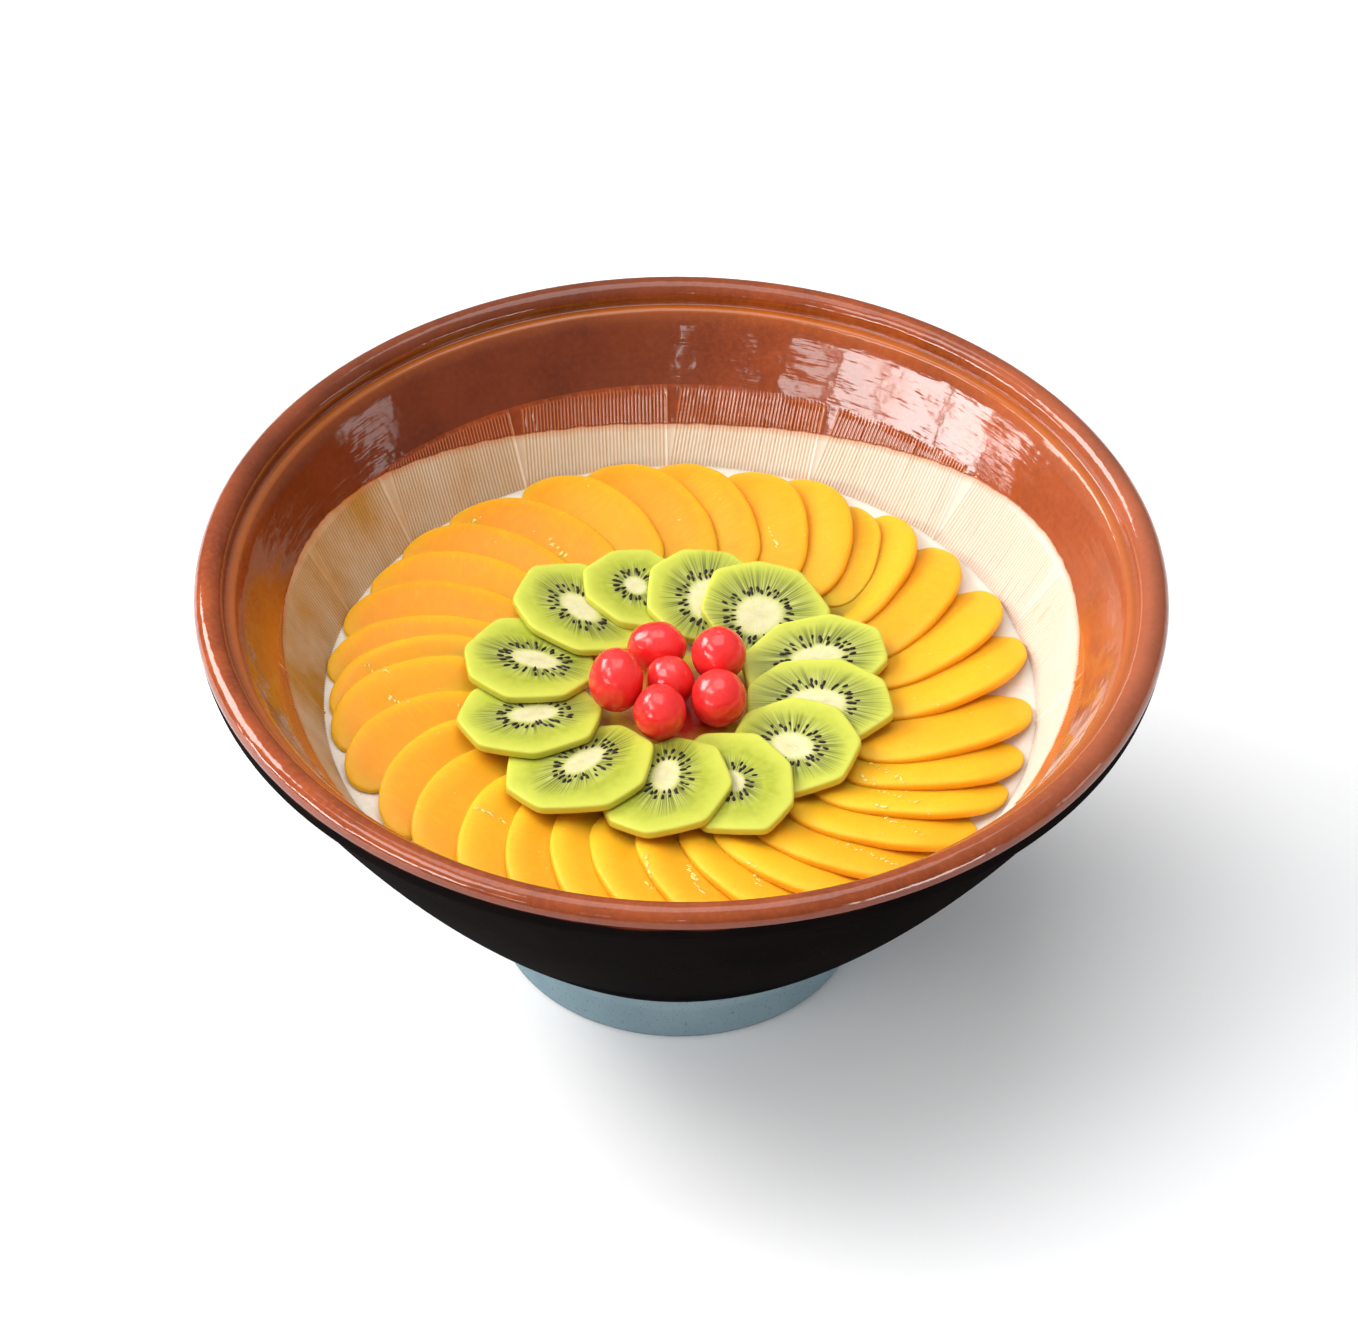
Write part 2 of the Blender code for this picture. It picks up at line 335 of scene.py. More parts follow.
def glaze_brown(graph, wide):
    """Brown glaze: darker on the back-left, a painted shade for the dark room that side reflects; paler on
    the right, a painted reflection; orange where it runs thin.
    """
    mottle = graph.noise(420, 3, 0.7)
    return graph.layers(
        graph.mix(graph.span(wide, 0.3, 0.7), srgb(114, 46, 12), srgb(148, 66, 22)),
        (graph.span(mottle, 0.42, 0.7, 0, 0.3), 176, 84, 34),
        # Painted shade: the thick mark darkens the back-left glaze, for the dark room it reflects
        (graph.mark("thick"), 76, 32, 12),
        # Painted reflection: the glaze paler and pinker towards the right
        (graph.span(graph.across(), 90 * MM, 170 * MM, 0, 0.45), 172, 98, 70),
        (graph.mark("thin"), 196, 106, 26),
    )


def stoneware_material():
    """Inside and lip: brown glaze that ends in a ragged line over bare cream clay."""
    graph = Graph("stoneware")
    fine = graph.noise(900, 2)
    wide = graph.noise(35)
    middle = graph.noise(160)
    groove = graph.mark("groove")
    ridge = graph.mark("ridge")
    wash_and_shade = graph.mark("wash_and_shade")

    line = graph.math("ADD", graph.mark("inside_line"), graph.math("MULTIPLY_ADD", middle, 1.6, -0.8))
    glazed = graph.span(line, -0.2, 0.4)
    rust = graph.times(graph.span(line, -2.6, -0.1), graph.span(line, 1.2, 0.3))

    streak = graph.noise(40, 4, 0.6, stretch=(1, 1, 0.25))
    # Ochre over the clay, most on the left: a thin wash in streaks, with painted shade and painted orange
    # bounce light; the grooves there darker still
    wash_and_shade_streaks = graph.times(wash_and_shade, graph.span(streak, 0.35, 0.7, 0.45, 1.0))
    washed_and_shaded_groove = graph.times(groove, graph.span(wash_and_shade, 0.05, 0.5, 0, 0.38))
    clay = graph.layers(
        # Painted shade: the clay darker and pinker towards the right, to hold down the strong light falling
        # there
        graph.mix(graph.span(graph.across(), 10 * MM, 120 * MM), srgb(238, 235, 218), srgb(225, 206, 196)),
        (graph.span(wide, 0.35, 0.65, 0, 0.3), 214, 194, 168),
        (graph.times(groove, 0.62), 190, 152, 104),
        (graph.times(ridge, 0.3), 248, 238, 220),
        (wash_and_shade_streaks, 188, 132, 32),
        (washed_and_shaded_groove, 140, 100, 52),
        (graph.times(rust, 0.6), 200, 112, 52),
    )

    crest = graph.times(graph.span(groove, 0.45, 0.0), graph.mark("combed"))
    brown = graph.layers(
        glaze_brown(graph, wide),
        (graph.times(crest, 0.8), 224, 142, 92),
        (graph.times(groove, 0.45), 104, 42, 18),
        (graph.times(ridge, 0.6), 232, 186, 150),
        # Painted shade on the lower outer side of the lip
        (graph.times(graph.mark("lip_low_shade"), 0.75), 92, 34, 12),
    )

    graph.set("Base Color", graph.mix(glazed, clay, brown))
    graph.set("Roughness", graph.blend(glazed, 0.62, graph.span(wide, 0.3, 0.7, 0.07, 0.13)))
    rings = graph.noise(26, 3, 0.6, stretch=(1, 1, 9))
    swell = graph.math("MULTIPLY_ADD", rings, 0.22, graph.noise(45))
    swell = graph.math("MULTIPLY_ADD", graph.noise(16, 2), 2.0, swell)
    ripple = graph.times(swell, glazed)
    grain = graph.times(fine, graph.math("SUBTRACT", 1.0, glazed))
    normal = graph.bump(ripple, 1.2 * MM, 0.6)
    graph.set("Normal", graph.bump(grain, 0.15 * MM, 0.6, normal))
    return graph.material


def outside_material():
    """Outside: brown running into black glaze, then the bare blue-grey foot. The brown is a darker copy of
    the inside's brown glaze, a painted shade.
    """
    graph = Graph("stoneware_outside")
    fine = graph.noise(900, 2)
    wide = graph.noise(35)
    middle = graph.noise(160)
    run = graph.math("ADD", graph.mark("outside_line"), graph.math("MULTIPLY_ADD", wide, 5.0, -2.5))
    black = graph.mix(graph.span(wide, 0.35, 0.65), srgb(8, 5, 5), srgb(13, 8, 7))
    # Painted shade: a darker copy of the inside's brown glaze
    brown = graph.mix(graph.span(wide, 0.3, 0.7), srgb(86, 32, 12), srgb(108, 44, 18))
    glaze = graph.mix(graph.span(run, 1.5, -0.6), brown, black)

    edge = graph.math("ADD", graph.mark("foot_line"), graph.math("MULTIPLY_ADD", middle, 0.8, -0.4))
    bare = graph.span(edge, 0.15, -0.15)
    body = graph.layers(
        graph.mix(graph.span(wide, 0.35, 0.65), srgb(114, 132, 140), srgb(126, 144, 150)),
        (graph.span(edge, -6.5, -8.5, 0, 0.35), 100, 122, 130),
        (graph.span(fine, 0.6, 0.72, 0, 0.6), 84, 100, 108),
        (graph.span(edge, -21.0, -22.0, 0, 0.6), 60, 74, 80),
    )
    graph.set("Base Color", graph.mix(bare, glaze, body))
    graph.set("Roughness", graph.blend(bare, 0.5, 0.75))
    graph.set("Specular IOR Level", 0)
    graph.set("Coat Weight", OUTSIDE_COAT)
    graph.set("Coat Roughness", 0.1)
    ripple = graph.times(graph.noise(45), graph.math("SUBTRACT", 1.0, bare))
    grain = graph.times(fine, bare)
    normal = graph.bump(ripple, 0.8 * MM, 0.4)
    graph.set("Normal", graph.bump(grain, 0.2 * MM, 0.7, normal))
    return graph.material


def soften(graph, weight, radius, scale):
    """Let light into the flesh."""
    graph.set("Subsurface Weight", weight)
    graph.set("Subsurface Radius", radius)
    graph.set("Subsurface Scale", scale)


def jelly_material():
    graph = Graph("jelly")
    cloud = graph.noise(60)
    middle = graph.node("ShaderNodeVectorMath", operation="DISTANCE")
    graph.feed(middle.inputs[0], graph.place())
    middle.inputs[1].default_value = RED_MIDDLE
    reach = graph.math("MULTIPLY_ADD", graph.noise(130), 12 * MM, middle.outputs["Value"])
    white = graph.mix(cloud, srgb(252, 246, 238), srgb(248, 240, 230))
    # The jelly turns red towards the cherries' middle, with a yellow ring round the red
    syrup = graph.mix(graph.span(reach, 36 * MM, 42 * MM), srgb(214, 186, 70), white)
    reddened = graph.mix(graph.span(reach, 20 * MM, 32 * MM), srgb(196, 46, 30), syrup)
    at_wall = graph.span(middle.outputs["Value"], 110 * MM, 132 * MM)
    graph.set("Base Color", graph.mix(at_wall, reddened, srgb(244, 232, 212)))
    graph.rough(graph.noise(200), 0.15, 0.3)
    soften(graph, 0.5, (1.0, 0.85, 0.75), 8 * MM)
    graph.set("Normal", graph.bump(graph.noise(90, 2), 0.3 * MM, 0.3))
    return graph.material


def peach_material():
    """Tinned peach: deep yellow flesh with faint fibres, its skin side more orange; painted shade towards
    where a slice goes under its neighbour, and painted light along its rim.
    """
    graph = Graph("peach_flesh")
    tint = graph.mark("tint")
    skin = graph.mark("skin")
    place = graph.node("ShaderNodeCombineXYZ")
    graph.feed(place.inputs[0], graph.times(graph.mark("along"), 26.0))
    graph.feed(place.inputs[1], graph.times(graph.mark("across"), 3.0))
    graph.feed(place.inputs[2], graph.times(tint, 40.0))
    fibre = graph.noise(1.0, 3, 0.6, place.outputs[0])
    cloud = graph.noise(60)
    fine = graph.noise(500, 2)
    flesh = graph.layers(
        graph.mix(graph.span(tint, 0, 1.0), srgb(240, 144, 18), srgb(254, 188, 32)),
        (graph.span(cloud, 0.35, 0.7, 0, 0.5), 252, 166, 14),
        (graph.span(fibre, 0.5, 0.8, 0, 0.25), 255, 204, 40),
        # Painted shade: more orange from the free round edge towards the stone side, which lies under the
        # next slice
        (graph.span(graph.mark("across"), 0.85, 0.1, 0, 0.45), 248, 150, 18),
        # Painted light: paler yellow along the rim of each slice
        (graph.times(graph.mark("edge"), 0.3), 255, 194, 40),
        (graph.times(skin, 0.7), 255, 164, 26),
    )
    graph.set("Base Color", flesh)
    graph.rough(cloud, 0.42, 0.6)
    graph.set("Specular IOR Level", 0.3)
    soften(graph, 0.8, (1.0, 0.72, 0.26), 7 * MM)
    height = graph.math("ADD", graph.times(fibre, 0.7), graph.times(fine, 0.5))
    graph.set("Normal", graph.bump(height, 0.14 * MM, 0.6))
    return graph.material


def kiwi_material():
    """Kiwi: pale core, dark ground round the seeds, streaked green flesh, bright peeled rim."""
    graph = Graph("kiwi_flesh")
    x = graph.mark("core_x")
    y = graph.mark("core_y")
    squares = graph.math("ADD", graph.times(x, x), graph.times(y, y))
    reach = graph.math("MAXIMUM", graph.math("SQRT", squares), 0.001)
    spoke = graph.node("ShaderNodeCombineXYZ")
    graph.feed(spoke.inputs[0], graph.math("DIVIDE", x, reach))
    graph.feed(spoke.inputs[1], graph.math("DIVIDE", y, reach))
    graph.feed(spoke.inputs[2], graph.mark("phase"))
    rays = graph.noise(9, 2, 0.6, spoke.outputs[0])
    fine_rays = graph.noise(22, 1, 0.5, spoke.outputs[0])
    cloud = graph.noise(300)
    rim = graph.mark("rim")

    ragged = graph.math("ADD", reach, graph.math("MULTIPLY_ADD", fine_rays, 0.5, -0.25))
    core = graph.span(ragged, 1.2, 0.8)
    ground = graph.times(graph.span(ragged, 0.95, 1.2), graph.span(ragged, 2.7, 1.5))
    wide_bright = graph.span(rays, 0.4, 0.62, 0, 0.5)
    bright = graph.math("ADD", wide_bright, graph.span(fine_rays, 0.42, 0.6, 0, 0.5))
    bright = graph.times(bright, graph.span(reach, 3.0, 1.4, 0.1, 0.75))
    bright = graph.times(bright, graph.span(rim, 0.85, 0.5, 0.15, 1.0))
    dark = graph.times(ground, graph.span(fine_rays, 0.56, 0.4, 0, 0.65))
    green = graph.layers(
        graph.mix(graph.span(cloud, 0.35, 0.65), srgb(154, 164, 40), srgb(170, 176, 52)),
        (graph.span(rim, 0.6, 0.95, 0, 0.85), 202, 206, 82),
        (graph.times(ground, 0.7), 112, 122, 30),
        (bright, 208, 210, 122),
        (dark, 70, 76, 24),
    )
    pale = graph.mix(graph.span(cloud, 0.4, 0.6), srgb(216, 210, 166), srgb(210, 204, 154))
    flesh = graph.mix(core, green, pale)
    flesh = graph.mix(graph.times(graph.mark("side"), 0.7), flesh, srgb(198, 198, 72))
    graph.set("Base Color", flesh)
    graph.rough(cloud, 0.3, 0.5)
    graph.set("Specular IOR Level", 0.35)
    soften(graph, 0.5, (0.8, 1.0, 0.3), 3 * MM)
    height = graph.math("ADD", graph.times(bright, 0.6), graph.times(cloud, 0.6))
    graph.set("Normal", graph.bump(height, 0.2 * MM, 0.8))
    return graph.material


def seed_material():
    graph = Graph("kiwi_seed")
    graph.set("Base Color", graph.mix(graph.noise(800), srgb(16, 6, 6), srgb(40, 20, 16)))
    graph.rough(graph.noise(500), 0.3, 0.5)
    graph.set("Specular IOR Level", 0.3)
    return graph.material


def syrup_material():
    graph = Graph("syrup")
    graph.set("Base Color", graph.mix(graph.noise(300), srgb(255, 210, 70), srgb(255, 222, 120)))
    graph.rough(graph.noise(500), 0.05, 0.12)
    soften(graph, 0.5, (1.0, 0.8, 0.4), 2 * MM)
    graph.set("Specular IOR Level", 0.8)
    return graph.material


def cherry_material():
    graph = Graph("cherry_skin")
    cloud = graph.noise(120)
    flesh = graph.mix(graph.span(cloud, 0.3, 0.7), srgb(230, 40, 38), srgb(240, 62, 60))
    # Painted shade: deeper red on the underside of each cherry
    flesh = graph.mix(graph.times(graph.mark("low"), 0.6), flesh, srgb(206, 14, 18))
    graph.set("Base Color", flesh)
    graph.rough(graph.noise(300), 0.12, 0.22)
    graph.set("Specular IOR Level", 0.55)
    soften(graph, 0.8, (1.0, 0.16, 0.14), 7 * MM)
    graph.set("Normal", graph.bump(graph.noise(300), 0.3 * MM, 0.5))
    return graph.material


# Bowl


def bulged_curve(start, end, bulges, steps):
    """Cubic curve whose two inner handles stand off the chord by the two bulges."""
    start = Vector(start)
    end = Vector(end)
    chord = end - start
    side = Vector((-chord.y, chord.x)).normalized()
    if side.x < 0:
        side = -side
    first = start + chord / 3 + side * bulges[0]
    second = start + chord * 2 / 3 + side * bulges[1]
    points = []
    for step in range(steps + 1):
        t = step / steps
        point = (1 - t) ** 3 * start + 3 * (1 - t) ** 2 * t * first
        point += 3 * (1 - t) * t ** 2 * second + t ** 3 * end
        points.append((point.x, point.y))
    return points


def arc(centre, radius, start, end, steps):
    points = []
    for step in range(steps + 1):
        turn = radians(start + (end - start) * step / steps)
        points.append((centre[0] + radius * cos(turn), centre[1] + radius * sin(turn)))
    return points


WALL = bulged_curve((LEDGE_INNER, HEIGHT - LEDGE_DEPTH), (FLOOR_RADIUS, FLOOR_HEIGHT), INNER_BULGES, 80)
WALL_HEIGHTS = np.array([height for _, height in WALL])[::-1]
WALL_RADII = np.array([radius for radius, _ in WALL])[::-1]


def wall_radius(height):
    return float(np.interp(height, WALL_HEIGHTS, WALL_RADII))


def glaze_height(turn):
    """Height of the glaze line inside the bowl, at a turn in radians clockwise from the far side."""
    return sum(wave * cos(order * turn) for order, wave in enumerate(GLAZE_WAVES))


def near(place, steps):
    """Points at steps of mm from a place of the profile."""
    return [(place[0] + out * MM, place[1] + up * MM) for out, up in steps]


def bowl_profile():
    """Zone, radius and height of each ring, from the middle of the underside round to the floor inside."""
    foot_inner = FOOT_RADIUS - FOOT_WALL
    collar = HEIGHT - COLLAR_HEIGHT
    ledge = HEIGHT - LEDGE_DEPTH
    foot = [(0.4 * MM, RECESS_DEPTH), (20 * MM, RECESS_DEPTH)]
    foot += bulged_curve((foot_inner - RECESS_DEPTH, RECESS_DEPTH), (foot_inner, 0), (0, -MM), 8)
    foot += [(60 * MM, 0), (64 * MM, 0)]
    foot += arc((FOOT_RADIUS - FOOT_EDGE, FOOT_EDGE), FOOT_EDGE, -90, 0, 6)
    foot += [(FOOT_RADIUS, height * MM) for height in (5, 9, 13, 16, 18.5)]
    outer = [(FOOT_RADIUS + 0.3 * MM, 20 * MM)]
    wall_foot = (FOOT_RADIUS + 1 * MM, FOOT_HEIGHT)
    outer += bulged_curve(wall_foot, (RIM_RADIUS - COLLAR_STEP, collar), OUTER_BULGES, 40)
    outer += near((RIM_RADIUS, collar), COLLAR_STEPS)
    lip = arc((RIM_RADIUS - LIP_ROUND, HEIGHT - LIP_ROUND), LIP_ROUND, -8, 180, 26)
    lip += near((LEDGE_OUTER, ledge), LIP_STEPS)
    inside = [(LEDGE_OUTER - 1 * MM, ledge)] + near((LEDGE_INNER, ledge), LEDGE_STEPS)
    zones = (("foot", foot), ("outer", outer), ("lip", lip), ("ledge", inside))
    rings = [(zone, *place) for zone, places in zones for place in places]
    channel_top = COMB_TOP - CHANNEL_EDGE
    for radius, height in WALL[2:]:
        if height > channel_top or height < COMB_BOTTOM:
            rings.append(("inner", radius, height))
            continue
        if rings[-1][2] > channel_top:
            rings.append(("inner", wall_radius(channel_top), channel_top))
            rings.append(("inner", wall_radius(channel_top) + COMB_CHANNEL, channel_top - CHANNEL_EDGE))
        rings.append(("inner", radius + COMB_CHANNEL, height))
    rings += [("inner", 30 * MM, FLOOR_HEIGHT), ("inner", 0.4 * MM, FLOOR_HEIGHT)]
    return rings


def glaze_marks(zone, radius, height, turn):
    """Distances in mm from the glaze's lines, and how thin the glaze runs, at a point of the bowl."""
    place = around(turn)
    drip = noise.noise(place * 2.3 + Vector((4, 0, 0))) * 3 * MM
    is_inside = zone == "inner"
    is_outside = zone in ("foot", "outer") or (zone == "lip" and radius > RIM_RADIUS - LIP_ROUND)
    in_ledge = smooth(1.6 - abs(radius - LEDGE_MIDDLE) / (1.6 * MM)) if zone == "ledge" else 0
    # Painted shade: the outer lip darker towards the black line below it
    lip_low_shade = smooth(1 - (height - BLACK_LINE) / (HEIGHT - BLACK_LINE))
    # Painted shade on the back-left glaze, for the dark room it reflects, carried as thick
    thick = BACK_LEFT_SHADE * smooth((place.dot(SHADED_SIDE) - 0.6) / 0.3)
    return {
        "inside_line": (height - glaze_height(turn)) / MM if is_inside else FAR_LINE,
        "outside_line": (height - BLACK_LINE - drip) / MM if is_outside else FAR_LINE,
        "foot_line": (height - FOOT_LINE) / MM if zone in ("foot", "outer") else FAR_LINE,
        "thin": max(0.4 * in_ledge, thin_run(turn, height) if is_inside else 0),
        # Wash and painted shade on the left clay
        "wash_and_shade": clay_wash_and_shade(turn, height) if is_inside else 0,
        "lip_low_shade": lip_low_shade if zone == "lip" and is_outside else 0,
        "thick": thick if zone != "foot" else 0,
    }


def thin_run(turn, height):
    """How thin the glaze runs above its line, from the bowl's two sides forward."""
    above = (height - glaze_height(turn)) / MM
    left, right = THIN_RUNS
    run = left + (right - left) * smooth(0.5 + sin(turn))
    at_side = smooth((0.22 - cos(turn)) / 0.3)
    return 0.8 * smooth(1 - above / run) * at_side


def clay_wash_and_shade(turn, height):
    """Share of the ochre over the clay, strongest on the left: partly a thin brown wash, partly painted
    shade and painted orange light thrown back from the glaze on that shaded side.
    """
    side = 0.5 - 0.5 * sin(turn)
    place = around(turn) * 3 + Vector((0, 0, height * 30))
    return max(0, min(1, side ** 3 * 1.1 + 0.35 * noise.noise(place) * side))


def build_bowl(material, outside):
    rings = bowl_profile()
    points = []
    marks = []
    for zone, radius, height in rings:
        for turn in turns(BOWL_COLUMNS):
            place = around(turn)
            wobble = noise.noise(place * 1.7 + Vector((0, 0, height * 9))) * 0.35 * MM
            reach = radius + (min(0, wobble) if zone in ("lip", "outer") else 0)
            points.append((reach * place.x, reach * place.y, height))
            marks.append(glaze_marks(zone, radius, height, turn))
    first_middle = len(points)
    for zone, _, height in (rings[0], rings[-1]):
        points.append((0, 0, height))
        marks.append(glaze_marks(zone, 0, height, 0))
    faces = capped_faces(len(rings), BOWL_COLUMNS)
    bowl = outward(add_mesh("stoneware_bowl", points, faces, material, marks))
    bowl.data.materials.append(outside)
    for face in bowl.data.polygons:
        ring = min(face.vertices) // BOWL_COLUMNS
        if rings[ring][0] in ("foot", "outer") or first_middle in face.vertices:
            face.material_index = 1
    place_piece(bowl, "stoneware", "bowl")


def comb_columns():
    """Columns of the combed band. Each is a pair of lines down the wall with its share of the way between
    them, then its shares of a groove's bottom, of a divider's ridge and of the combed ground. A line is a
    turn and a sideways distance from it at the jelly."""
    columns = []
    for index, start in enumerate(DIVIDERS):
        end = DIVIDERS[(index + 1) % len(DIVIDERS)]
        left = radians(start)
        right = radians(end if end > start else end + 360)
        width = (right - left) * wall_radius(JELLY_LEVEL) - 2 * DIVIDER_WIDTH
        for side in (-1, 0, 1):
            line = (left, side * DIVIDER_WIDTH)
            columns.append((line, line, 0, 0, 1 - abs(side), 0))
        wedge = (left, DIVIDER_WIDTH)
        first_groove = (right, -width - DIVIDER_WIDTH)
        for step in range(1, WEDGE_COLUMNS):
            columns.append((wedge, first_groove, step / WEDGE_COLUMNS, WEDGE_GROOVE, 0, 0))
        steps = 4 * round(width / GROOVE_PITCH)
        for step in range(steps + 1):
            line = (right, -width * (1 - step / steps) - DIVIDER_WIDTH)
            columns.append((line, line, 0, (0, 0.5, 1, 0.5)[step % 4], 0, 1))
    return columns


def column_turn(column, radius):
    narrow = wall_radius(JELLY_LEVEL)
    reach = narrow + COMB_SPREAD * max(0, radius - narrow)
    (left, left_offset), (right, right_offset), share = column[:3]
    start = left + left_offset / reach
    end = right + right_offset / reach
    return start + (end - start) * share


def build_comb(material):
    """Combed band of the wall, as a closed ring let into the bowl."""
    columns = comb_columns()
    points = []
    marks = []
    shares = [(row / (COMB_ROWS - 1)) ** COMB_CROWDING for row in range(COMB_ROWS)]
    rows = [(COMB_TOP + (COMB_BOTTOM - COMB_TOP) * share, 0) for share in shares]
    rows += [(COMB_BOTTOM + 1 * MM, COMB_BACK), (COMB_TOP - 1 * MM, COMB_BACK)]
    for height, back in rows:
        radius = wall_radius(height)
        slope = atan2(wall_radius(height + MM) - wall_radius(height - MM), 2 * MM)
        for column in columns:
            groove, ridge, combed = column[3:]
            turn = column_turn(column, radius)
            place = around(turn)
            start = COMB_TOP - (0.9 + 0.7 * noise.noise(place * 60)) * MM
            fade = smooth((start - height) / (1.4 * MM))
            uneven = 1 + 0.45 * noise.noise(place * 90 + Vector((0, 0, height * 60)))
            relief = GROOVE_DEPTH * groove * uneven - DIVIDER_RISE * ridge
            push = back - COMB_OVER * (1 - fade) + relief * fade
            reach = radius + push * cos(slope)
            points.append((reach * place.x, reach * place.y, height - push * sin(slope)))
            marks.append({
                "inside_line": (height - glaze_height(turn)) / MM,
                "groove": groove * fade,
                "ridge": ridge * fade,
                "combed": combed * fade,
                # Wash and painted shade on the left clay
                "wash_and_shade": clay_wash_and_shade(turn, height),
                "thin": thin_run(turn, height),
            })
    faces = ring_faces(len(rows), len(columns), closed=True)
    comb = outward(add_mesh("combed_wall", points, faces, material, marks))
    place_piece(comb, "stoneware")


def build_jelly(material):
    """Jelly with a slightly wavy top that climbs the wall a little, down to the floor."""
    shares = (0.02, 0.3, 0.6, 0.8, 0.9, 0.94, 0.965, 0.98, 0.99, 1.0)
    points = []
    for share in shares:
        climb = JELLY_CLIMB * smooth((share - 0.94) / 0.06)
        reach = share * (wall_radius(JELLY_LEVEL + climb) + JELLY_OVERLAP)
        for turn in turns(JELLY_COLUMNS):
            place = around(turn) * reach
            wave = (noise.noise(place * 40) - 1) * JELLY_WAVE
            points.append((place.x, place.y, JELLY_LEVEL + wave + climb))
    lower = [(radius - GAP, height) for radius, height in WALL if height < JELLY_LEVEL - 3 * MM][::3]
    for radius, height in lower:
        points += [around(turn) * radius + Vector((0, 0, height + GAP)) for turn in turns(JELLY_COLUMNS)]
    points.append((0, 0, JELLY_LEVEL - JELLY_WAVE))
    points.append((0, 0, lower[-1][1] + GAP))
    faces = capped_faces(len(shares) + len(lower), JELLY_COLUMNS)
    jelly = outward(add_mesh("jelly", points, faces, material))
    place_piece(jelly, "jelly", "almond_jelly")


# Fruit slices: slabs that follow the solids' height laws, with finer edges


def slab_mesh(name, outline, centre, underside, thickness, levels, material, mark_point):
    """Closed slab. levels are (share of the way to the outline, share of the thickness) from the top's
    middle over the edge to the underside's middle; mark_point gives the point values at a place."""
    points = []
    marks = []

    def add_point(place, share, lift, level):
        points.append((place.x, place.y, underside(place) + thickness(place) * lift))
        marks.append(mark_point(place, share, level))

    for share, lift in levels:
        for point in outline:
            add_point(centre + (point - centre) * share, share, lift, lift)
    add_point(centre, 0, levels[0][1], 1)
    add_point(centre, 0, levels[-1][1], 0)
    faces = capped_faces(len(levels), len(outline))
    return outward(add_mesh(name, points, faces, material, marks))


# Peach slices

PEACH_ANGLES = (
    2.5, 15.5, 25.5, 35.5, 43, 56, 69.5, 82, 98.5, 109.5, 119.5, 130, 141, 152, 162.5, 173,
    183.5, 194, 204.5, 216, 228, 239.5, 251.5, 263, 270.5, 279, 290.5, 301, 311.5, 323.5, 338,
    350.5,
)
PEACH_SCRAP = 3
SCRAP_SIZE = 0.8
SCRAP_THICKNESS = 0.4
PEACH_RING = 105.5 * MM
PEACH_SHIFT = Vector((0, 0.5)) * MM
PEACH_LENGTH = 61 * MM
PEACH_TUCK = 11 * MM
PEACH_ROUND_SIDE = 20 * MM
PEACH_STONE_SIDE = 14 * MM
PEACH_YAW = -28
PEACH_SLOPE = 0.16
PEACH_EASING = 0.35
PEACH_THICK = 3.9 * MM
PEACH_THIN = 2.3 * MM
PEACH_STEP = 0.83
PEACH_TIP = 0.62
PEACH_TIP_START = 0.44
PEACH_THINNING = 1.3
PEACH_REST = 15 * MM
PEACH_DROOP = 0.07
PEACH_POINTS = 96
PEACH_SEED = 7
PEACH_PALE_SIDE = 145
PEACH_LEVELS = (
    (0.12, 1.0), (0.25, 1.0), (0.4, 1.0), (0.52, 0.995), (0.63, 0.985), (0.72, 0.965), (0.8, 0.935),
    (0.86, 0.895), (0.905, 0.845), (0.94, 0.78), (0.966, 0.7), (0.985, 0.6), (0.996, 0.48), (1.0, 0.34),
    (1.003, 0.16), (1.004, -0.06), (0.985, -0.06), (0.96, 0.0), (0.5, 0.0),
)


